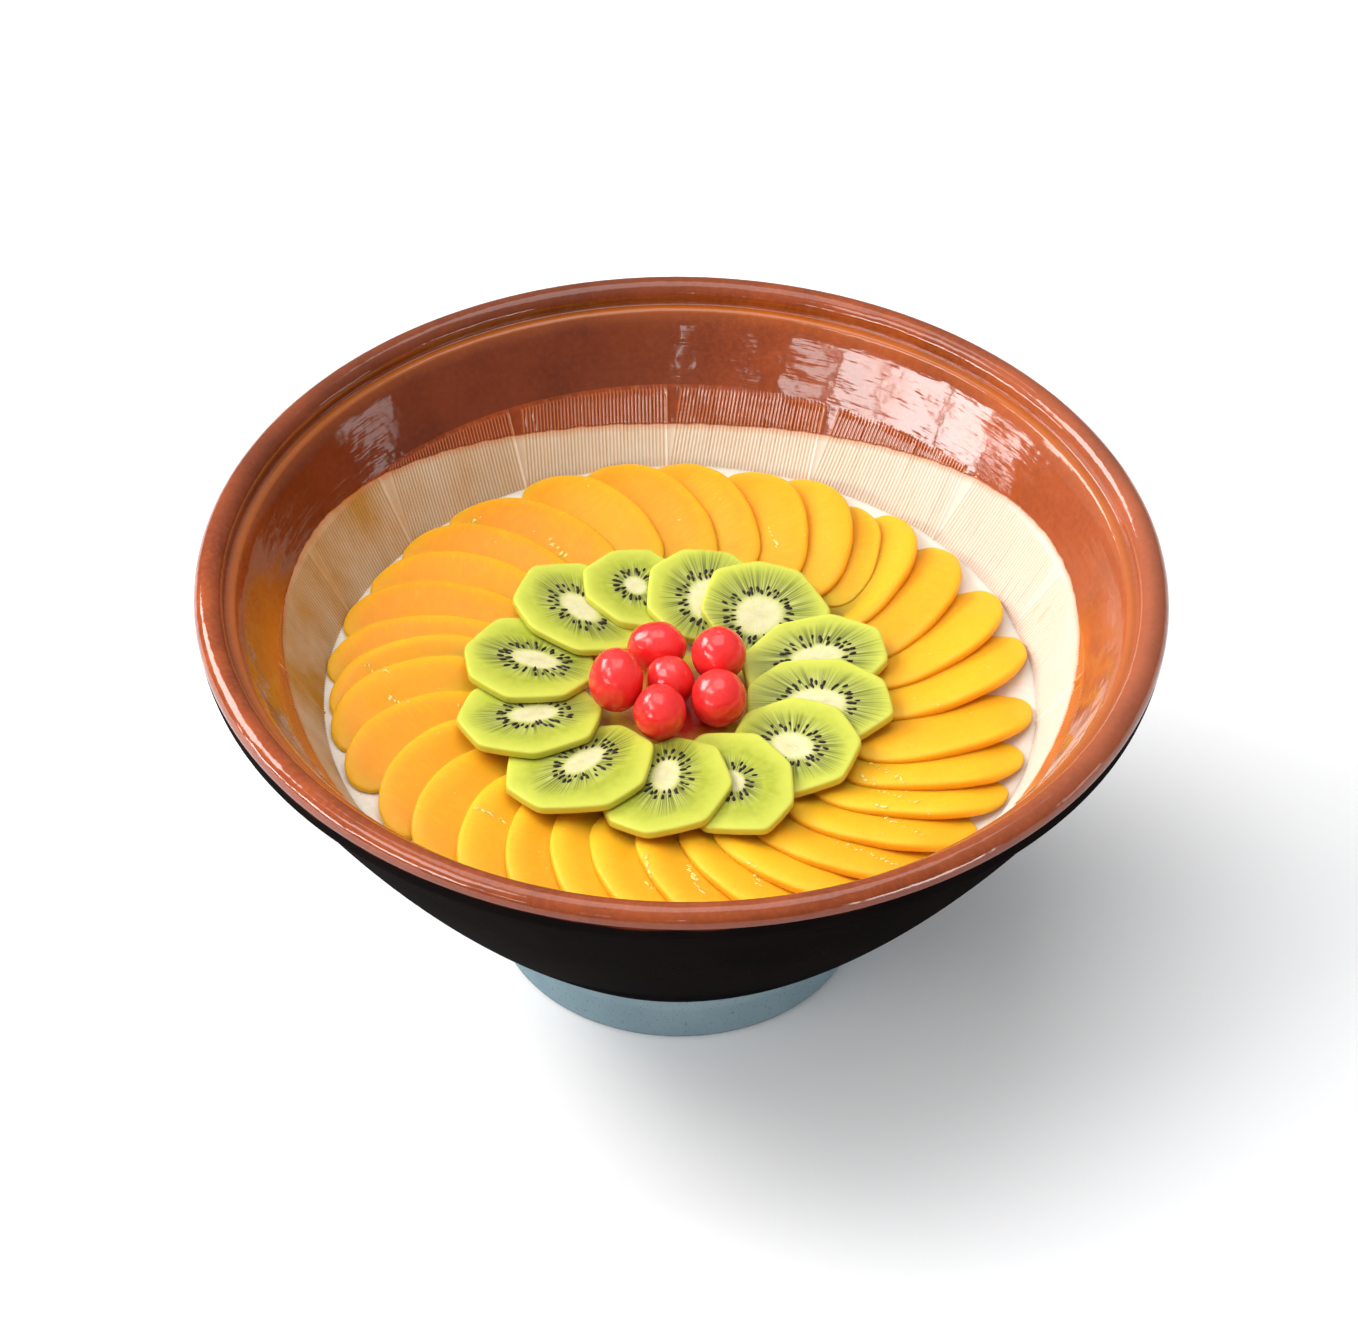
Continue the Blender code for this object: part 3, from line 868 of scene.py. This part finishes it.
def build_peach(name, angle, spacing, scrap, draw, material):
    """One slice. spacing is the angle to the slice that lies over its stone side."""
    size = SCRAP_SIZE if scrap else 1
    length = PEACH_LENGTH * size * draw.uniform(0.96, 1.04)
    round_side = PEACH_ROUND_SIDE * size * draw.uniform(0.94, 1.06)
    stone_side = PEACH_STONE_SIDE * draw.uniform(0.95, 1.05)
    yaw = PEACH_YAW + draw.uniform(-4, 4)
    middle = direction(angle) * (PEACH_RING + draw.uniform(-1.2, 0.8) * MM) + PEACH_SHIFT
    along = direction(angle + yaw)
    across = direction(angle + yaw + 90)

    lie = direction(angle + PEACH_YAW + 90)
    level = PEACH_RING * cos(radians(PEACH_YAW + 90))
    step = PEACH_STEP * PEACH_SLOPE * radians(spacing)
    band = radians(spacing) * PEACH_RING * cos(radians(PEACH_YAW))
    thick = PEACH_THICK * draw.uniform(0.92, 1.05) * (SCRAP_THICKNESS if scrap else 1)
    outer_end = length / 2
    inner_end = length / 2 + PEACH_TUCK

    def easing(place):
        """The slope's share at a place: less towards the end under the kiwi slices."""
        return 1 - PEACH_EASING * smooth((middle - place).dot(along) / inner_end)

    def underside(place):
        droop = PEACH_DROOP * max(0, (place - middle).dot(along) - length / 6)
        rise = PEACH_SLOPE * easing(place) * (place.dot(lie) - level + PEACH_REST)
        return JELLY_LEVEL + GAP + rise - droop

    def reach_along(place):
        reach = (place - middle).dot(along)
        return reach / (outer_end if reach > 0 else -inner_end)

    def thickness(place):
        reach = reach_along(place)
        edge = round_side * sqrt(max(0, 1 - reach * reach))
        share = 1 - (edge - (place - middle).dot(across)) / band
        full = smooth((1 - reach) / (1 - PEACH_TIP_START))
        taper = PEACH_TIP + (1 - PEACH_TIP) * full
        thin = min(PEACH_THIN, step * easing(place) * place.length - 2 * GAP)
        return (thin + (thick - thin) * smooth(PEACH_THINNING * share)) * taper

    seed = Vector((angle, 3.3, 0))
    tint = 0.5 + 0.3 * sin(radians(angle - PEACH_PALE_SIDE + 90)) + 0.35 * noise.noise(seed)

    def mark_point(place, share, level):
        offset = place - middle
        return {
            "tint": tint,
            "skin": 1 - smooth((level - 0.25) / 0.6),
            # edge: share of the painted light along the rim
            "edge": smooth((share - 0.7) / 0.28),
            "along": offset.dot(along) / outer_end,
            "across": offset.dot(across) / round_side,
        }

    outline = []
    for turn in turns(PEACH_POINTS):
        side = round_side if sin(turn) > 0 else stone_side
        end = outer_end if cos(turn) > 0 else inner_end
        wave = 1 + 0.022 * noise.noise(seed + Vector((cos(turn), sin(turn), 0)) * 2.2)
        point = middle + (along * (end * cos(turn)) + across * (side * sin(turn))) * wave
        limit = wall_radius(underside(point)) - GAP
        if point.length > limit:
            point = point * (limit / point.length)
        outline.append(point)
    return slab_mesh(name, outline, middle, underside, thickness, PEACH_LEVELS, material, mark_point)


def build_peaches(material):
    draw = random.Random(PEACH_SEED)
    items = []
    for index, angle in enumerate(PEACH_ANGLES):
        spacing = (angle - PEACH_ANGLES[index - 1]) % 360
        scrap = index == PEACH_SCRAP
        item = build_peach(f"peach_{index:02d}", angle, spacing, scrap, draw, material)
        place_piece(item, "peach", f"peach_slice_{index:02d}")
        items.append(item)
    return items


# Kiwi slices

# Angle, distance of the middle from the axis, length along the radius, width, and the turn of a corner
KIWI_PLACES = (
    (-43, 57, 56, 47, 0),
    (-18, 56.5, 43, 42, 35),
    (11, 51.5, 49, 47, 12),
    (37, 53.5, 46, 51, 2),
    (74.5, 53.5, 57, 43, 27),
    (101, 53, 57, 44, 11),
    (129.5, 55, 53, 48, 6),
    (160, 58.5, 61, 45, 0),
    (185.5, 58, 58, 50, 2),
    (218.5, 60.5, 60, 53, 30),
    (250.5, 59.5, 56, 49, 8),
    (281.5, 58.5, 50, 53, 2),
)
# Pale core: length along the radius, width, and shift of its middle away from the axis
KIWI_CORES = (
    (17, 11, 0),
    (9, 8, 1),
    (20, 13, -2),
    (19, 17, -4),
    (20, 12, 0),
    (21, 13, 0),
    (17, 12, 0),
    (12, 8, 0),
    (19, 10, -6),
    (20, 10, -3),
    (19, 10, -1),
    (18, 10, -2),
)
KIWI_SHIFT = Vector((0, -1)) * MM
KIWI_THICK = 3.2 * MM
KIWI_PITCH = 7.5 * MM
KIWI_HALF_ANGLE = 0.44
KIWI_LIFT = 0.6 * MM
KIWI_RISE_START = 34 * MM
KIWI_RISE = 0.1
KIWI_FACETS = 8
KIWI_FLAT_RISE = 1.012
KIWI_SEED = 11
KIWI_FINE = 8
KIWI_ROUNDINGS = 4
# Seeds: how far out from the core each row lies, then the size
SEED_ROWS = ((0.9 * MM, 2.6 * MM), (2.8 * MM, 5.4 * MM))
SEED_SPACING = 3.1 * MM
SEED_LENGTH = 2.9 * MM
SEED_WIDTH = 0.5
SEED_DEPTH = 0.36
SEED_SEED = 5
KIWI_LEVELS = (
    (0.08, 1.0), (0.16, 1.0), (0.24, 1.0), (0.32, 1.0), (0.4, 1.0), (0.48, 1.0), (0.56, 1.0), (0.64, 1.0),
    (0.72, 1.0), (0.8, 1.0), (0.87, 0.99), (0.92, 0.97), (0.955, 0.935), (0.98, 0.88), (0.994, 0.8),
    (1.0, 0.66), (1.004, 0.4), (1.006, 0.15), (1.006, -0.03), (0.98, -0.03), (0.96, 0.0), (0.6, 0.0),
)


def kiwi_outline(middle, along, across, length, width, first, draw):
    """Oval with the flats that peeling leaves, its corners a little rounded."""
    step = tau / KIWI_FACETS
    sizes = [draw.uniform(1, 1.06) for _ in range(KIWI_FACETS)]
    corners = []
    for index in range(KIWI_FACETS):
        turn = first + step * (index + draw.uniform(-0.12, 0.12))
        reach = along * (length / 2 * cos(turn)) + across * (width / 2 * sin(turn))
        corners.append(middle + reach * sizes[index])
    coarse = []
    for index, corner in enumerate(corners):
        after = corners[(index + 1) % KIWI_FACETS]
        coarse.append(corner)
        coarse.append(middle + ((corner + after) / 2 - middle) * KIWI_FLAT_RISE)
    fine = []
    for index, point in enumerate(coarse):
        after = coarse[(index + 1) % len(coarse)]
        fine += [point.lerp(after, step / KIWI_FINE) for step in range(KIWI_FINE)]
    for _ in range(KIWI_ROUNDINGS):
        fine = [(fine[index - 1] + fine[index] * 2 + fine[(index + 1) % len(fine)]) / 4
                for index in range(len(fine))]
    return fine


def inside_outline(point, outline, grow=1.0):
    """Whether a plan point is inside a closed outline, grown about its middle."""
    middle = sum(outline, Vector((0, 0))) / len(outline)
    place = middle + (point - middle) / grow
    inside = False
    for index, start in enumerate(outline):
        end = outline[(index + 1) % len(outline)]
        if (start.y > place.y) != (end.y > place.y):
            crossing = start.x + (place.y - start.y) / (end.y - start.y) * (end.x - start.x)
            if place.x < crossing:
                inside = not inside
    return inside


def kiwi_slice(index, draw):
    """Outline, frame and height laws of one slice."""
    angle, reach, length, width, corner = KIWI_PLACES[index]
    after = KIWI_PLACES[(index + 1) % len(KIWI_PLACES)]
    spacing = (after[0] - angle) % 360
    middle = direction(angle) * reach * MM + KIWI_SHIFT
    along = direction(angle)
    across = direction(angle + 90)
    own_turn = radians(angle)
    deep = min(KIWI_THICK, KIWI_PITCH * radians(spacing) - GAP)

    def underside(point):
        turn = atan2(point.x, point.y) - own_turn
        turn = (turn + pi) % tau - pi
        rise = KIWI_RISE * max(0, point.length - KIWI_RISE_START)
        return JELLY_LEVEL + GAP + KIWI_LIFT + rise + KIWI_PITCH * (KIWI_HALF_ANGLE - turn)

    core_length, core_width, shift = KIWI_CORES[index]
    return {
        "middle": middle,
        "along": along,
        "across": across,
        "deep": deep,
        "underside": underside,
        "outline": kiwi_outline(middle, along, across, length * MM, width * MM, radians(corner), draw),
        "core": middle + along * shift * MM,
        "core_half": (core_length * MM / 2, core_width * MM / 2),
        "phase": index * 7.3,
    }


def build_kiwi(index, piece, material):
    def mark_point(place, share, level):
        offset = place - piece["core"]
        return {
            "core_x": offset.dot(piece["along"]) / piece["core_half"][0],
            "core_y": offset.dot(piece["across"]) / piece["core_half"][1],
            "rim": share,
            "side": 1 - smooth((level - 0.8) / 0.18),
            "phase": piece["phase"],
        }

    item = slab_mesh(f"kiwi_{index + 1:02d}", piece["outline"], piece["middle"], piece["underside"],
                     lambda place: piece["deep"], KIWI_LEVELS, material, mark_point)
    place_piece(item, "kiwi", f"kiwi_slice_{index + 1:02d}")


def drop_shape():
    """Drop of unit length, for seeds and syrup, with its tip along -X."""
    shape = bmesh.new()
    bmesh.ops.create_uvsphere(shape, u_segments=8, v_segments=6, radius=0.5)
    points = []
    for vertex in shape.verts:
        across, deep, along = vertex.co
        slim = 0.9 + 0.6 * along
        points.append(Vector((along, across * slim, deep * slim)))
    faces = [tuple(vertex.index for vertex in face.verts) for face in shape.faces]
    shape.free()
    return points, faces


def build_drops(name, slot, drops, material):
    """One piece of many drops. A drop is its sizes along its own axes, its turn and its place."""
    shape, shape_faces = drop_shape()
    points = []
    faces = []
    for sizes, turned, place in drops:
        first = len(points)
        points += [turned @ (Matrix.Diagonal(sizes) @ point) + place for point in shape]
        faces += [tuple(first + corner for corner in face) for face in shape_faces]
    place_piece(outward(add_mesh(name, points, faces, material)), slot)


def build_seeds(pieces, material):
    """Two rows of seeds round each core, left out where the next slice covers them."""
    draw = random.Random(SEED_SEED)
    drops = []
    for index, piece in enumerate(pieces):
        cover = pieces[(index + 1) % len(pieces)]["outline"]
        half_x, half_y = piece["core_half"]
        for nearest, farthest in SEED_ROWS:
            round_length = pi * (half_x + half_y + nearest + farthest)
            count = round(round_length / SEED_SPACING)
            for step in range(count):
                turn = tau * (step + draw.uniform(-0.32, 0.32)) / count
                out = draw.uniform(nearest, farthest)
                ray = Vector((cos(turn) * (half_x + out), sin(turn) * (half_y + out)))
                place = piece["core"] + piece["along"] * ray.x + piece["across"] * ray.y
                size = SEED_LENGTH * draw.uniform(0.75, 1.1)
                twist = draw.uniform(-0.25, 0.25)
                if inside_outline(place, cover) or not inside_outline(place, piece["outline"], 0.93):
                    continue
                outward_turn = atan2(place.y - piece["core"].y, place.x - piece["core"].x) + twist
                turned = Matrix.Rotation(outward_turn, 3, "Z")
                height = piece["underside"](place) + piece["deep"]
                sizes = (size, size * SEED_WIDTH, size * SEED_DEPTH)
                drops.append((sizes, turned, Vector((place.x, place.y, height))))
    build_drops("kiwi_seeds", "kiwi", drops, material)


def build_kiwis(material, seeds):
    draw = random.Random(KIWI_SEED)
    pieces = [kiwi_slice(index, draw) for index in range(len(KIWI_PLACES))]
    for index, piece in enumerate(pieces):
        build_kiwi(index, piece, material)
    build_seeds(pieces, seeds)


# Syrup

# Streaks of beads along the slices' edges: start, end and how many beads
SYRUP_STREAKS = (
    ((-90, 93), (-78, 98), 9),
    ((-119, 8), (-110, 2), 9),
    ((-110, -9), (-101, -13), 7),
    ((72, -38), (86, -56), 12),
    ((68, -48), (90, -66), 12),
    ((74, -66), (92, -84), 10),
    ((60, -84), (82, -98), 14),
    ((27, -98), (32, -110), 8),
    ((4, -97), (9, -114), 12),
    ((-12, -94), (-10, -111), 9),
    ((-76, -70), (-64, -76), 8),
    ((34, 92), (37, 80), 6),
    ((-52, 84), (-44, 76), 6),
)
SYRUP_SPREAD = 1.0 * MM
SYRUP_DEPTH = 0.45
SYRUP_SEED = 23
LOOSE_BEADS = 60


def top_of(items):
    """Search tree over the faces of several objects."""
    points = []
    faces = []
    for item in items:
        first = len(points)
        points += [vertex.co.copy() for vertex in item.data.vertices]
        faces += [tuple(first + corner for corner in face.vertices) for face in item.data.polygons]
    return BVHTree.FromPolygons(points, faces)


def build_syrup(fruit, material):
    """Small beads of syrup lying on the fruit, in streaks and one by one."""
    draw = random.Random(SYRUP_SEED)
    tree = top_of(fruit)
    places = []
    for start, end, count in SYRUP_STREAKS:
        line = Vector(end) - Vector(start)
        heading = atan2(line.y, line.x)
        for step in range(count):
            spot = (Vector(start) + line * ((step + draw.uniform(-0.3, 0.3)) / count)) * MM
            spot += Vector((draw.gauss(0, 0.5), draw.gauss(0, 0.5))) * SYRUP_SPREAD
            places.append((spot, heading + draw.uniform(-0.3, 0.3), draw.uniform(0.6, 1.5) * MM))
    for _ in range(LOOSE_BEADS):
        spot = direction(draw.uniform(0, 360)) * draw.uniform(82, 124) * MM
        places.append((spot, draw.uniform(0, pi), draw.uniform(0.35, 0.8) * MM))
    drops = []
    for spot, heading, size in places:
        hit, normal, _, _ = tree.ray_cast(Vector((spot.x, spot.y, HEIGHT)), Vector((0, 0, -1)))
        if hit is None or hit.z < JELLY_LEVEL + MM:
            continue
        turned = normal.to_track_quat("Z", "X").to_matrix() @ Matrix.Rotation(heading, 3, "Z")
        drops.append(((size * draw.uniform(1.2, 2.6), size, size * SYRUP_DEPTH), turned, hit))
    build_drops("syrup_beads", "peach", drops, material)


# Cherries

CHERRIES = 6
CHERRY_COLUMNS = 48
CHERRY_ROWS = 32
CHERRY_DENT = 0.3 * MM
CHERRY_DIMPLE = 0.35
DIMPLED_CHERRY = 2


def build_cherry(number, material):
    node = f"cherry_{number}"
    low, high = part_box(node)
    centre = (low + high) / 2
    half = (high - low) / 2
    dimple = CHERRY_DIMPLE if number == DIMPLED_CHERRY else 0
    points = []
    marks = []
    for row in range(1, CHERRY_ROWS):
        tilt = pi * row / CHERRY_ROWS
        for turn in turns(CHERRY_COLUMNS):
            flat = sin(tilt)
            normal = Vector((flat * cos(turn), flat * sin(turn), cos(tilt)))
            seed = normal * 1.6 + Vector((number * 5, 0, 0))
            swell = 0.35 * noise.noise(seed) + 0.12 * noise.noise(seed * 3)
            swell -= dimple * max(0, noise.noise(seed * 5))
            points.append(centre + Matrix.Diagonal(half) @ normal + normal * swell * MM)
            # low: share of the painted shade on the underside
            marks.append({"low": smooth(0.5 - normal.z)})
    pole = Vector((0, 0, half.z - CHERRY_DENT))
    points += [centre + pole, centre - pole]
    marks += [{"low": 0}, {"low": 1}]
    faces = capped_faces(CHERRY_ROWS - 1, CHERRY_COLUMNS)
    item = outward(add_mesh(f"cherry_fruit_{number}", points, faces, material, marks))
    place_piece(item, "cherry", node)


# Stage


def build_floor():
    graph = Graph("floor")
    graph.set("Base Color", graph.mix(graph.noise(3), (0.91, 0.91, 0.91, 1), (0.94, 0.94, 0.94, 1)))
    graph.set("Roughness", 0.9)
    side = 4
    points = [(-side, -side, 0), (side, -side, 0), (side, side, 0), (-side, side, 0)]
    floor = add_mesh("studio_floor", points, [(0, 1, 2, 3)], graph.material)


def add_light(name, place, target, size, power, colour=(1, 1, 1)):
    data = bpy.data.lights.new(name, "AREA")
    data.shape = "RECTANGLE"
    data.size, data.size_y = size
    data.energy = power
    data.color = colour
    light = bpy.data.objects.new(name, data)
    light.location = place
    light.rotation_euler = (Vector(target) - Vector(place)).to_track_quat("-Z", "Y").to_euler()
    bpy.context.scene.collection.objects.link(light)


# Window panes in front and at the sides, which the glaze reflects: angle, height, width, tallness, radiance
WINDOW_DISTANCE = 1.6
WINDOW_PANES = (
    (180, 0.66, 0.05, 0.3, 7),
    (196, 0.62, 0.08, 0.2, 4),
    (213, 0.63, 0.2, 0.2, 8),
    (226, 0.6, 0.36, 0.26, 14),
    (241, 0.52, 0.4, 0.26, 17),
    (257, 0.4, 0.4, 0.24, 18),
    (272, 0.26, 0.36, 0.2, 16),
    (92, 0.3, 0.4, 0.3, 3),
    (130, 0.16, 0.8, 0.24, 12),
)


def build_lights():
    middle = (0, 0, 0.13)
    add_light("window_left", (-1.34, 0.7, 1.08), middle, (0.95, 0.75), 26, (1, 0.985, 0.96))
    add_light("softbox_top", (0, 0.3, 2.2), middle, (1.6, 1.6), 20)
    add_light("softbox_front", (-1.2, -0.5, 1.7), middle, (1.2, 0.55), 13)
    for number, (angle, height, width, tall, radiance) in enumerate(WINDOW_PANES):
        side = direction(angle) * WINDOW_DISTANCE
        power = radiance * pi * width * tall
        add_light(f"window_pane_{number}", (*side, height), middle, (width, tall), power)
    build_sky()
    bpy.context.scene.view_settings.view_transform = "Standard"


# Sky's brightness: axis, its range of directions, and the factors at the range's ends
SKY_RANGES = (("Z", 0.1, 0.9, 0.35, 0.85), ("X", -1, 1, 1.1, 0.6))


def build_sky():
    """Room light: a pale ceiling over dimmer walls, brighter on the window's side."""
    world = bpy.data.worlds.new("studio")
    bpy.context.scene.world = world
    world.use_nodes = True
    tree = world.node_tree
    place = tree.nodes.new("ShaderNodeTexCoord")
    split = tree.nodes.new("ShaderNodeSeparateXYZ")
    tree.links.new(place.outputs["Generated"], split.inputs[0])
    strength = tree.nodes.new("ShaderNodeMath")
    strength.operation = "MULTIPLY"
    for socket, (axis, *ranges) in zip(strength.inputs, SKY_RANGES):
        mapped = tree.nodes.new("ShaderNodeMapRange")
        tree.links.new(split.outputs[axis], mapped.inputs["Value"])
        for index, value in enumerate(ranges):
            mapped.inputs[index + 1].default_value = value
        tree.links.new(mapped.outputs[0], socket)
    tree.links.new(strength.outputs[0], tree.nodes["Background"].inputs["Strength"])
    tree.nodes["Background"].inputs["Color"].default_value = (0.97, 0.98, 1, 1)


def build_camera():
    """Camera at the photograph's angle, turned by its small roll."""
    look = Vector((0, cos(CAMERA_ELEVATION), -sin(CAMERA_ELEVATION)))
    right = Vector((1, 0, 0))
    up = right.cross(look)
    rolled_right = right * cos(CAMERA_ROLL) + up * sin(CAMERA_ROLL)
    rolled_up = up * cos(CAMERA_ROLL) - right * sin(CAMERA_ROLL)
    data = bpy.data.cameras.new("camera")
    data.sensor_width = SENSOR_WIDTH
    data.lens = FOCAL_PIXELS / PHOTO_WIDTH * SENSOR_WIDTH
    data.clip_end = 20
    camera = bpy.data.objects.new("camera", data)
    turned = Matrix((rolled_right, rolled_up, -look)).transposed()
    camera.matrix_world = Matrix.Translation(CAMERA_TARGET - look * CAMERA_DISTANCE) @ turned.to_4x4()
    bpy.context.scene.collection.objects.link(camera)
    bpy.context.scene.camera = camera


def main():
    build_camera()
    stoneware = stoneware_material()
    build_bowl(stoneware, outside_material())
    build_comb(stoneware)
    build_jelly(jelly_material())
    build_syrup(build_peaches(peach_material()), syrup_material())
    build_kiwis(kiwi_material(), seed_material())
    cherry = cherry_material()
    for number in range(1, CHERRIES + 1):
        build_cherry(number, cherry)
    build_floor()
    build_lights()


main()
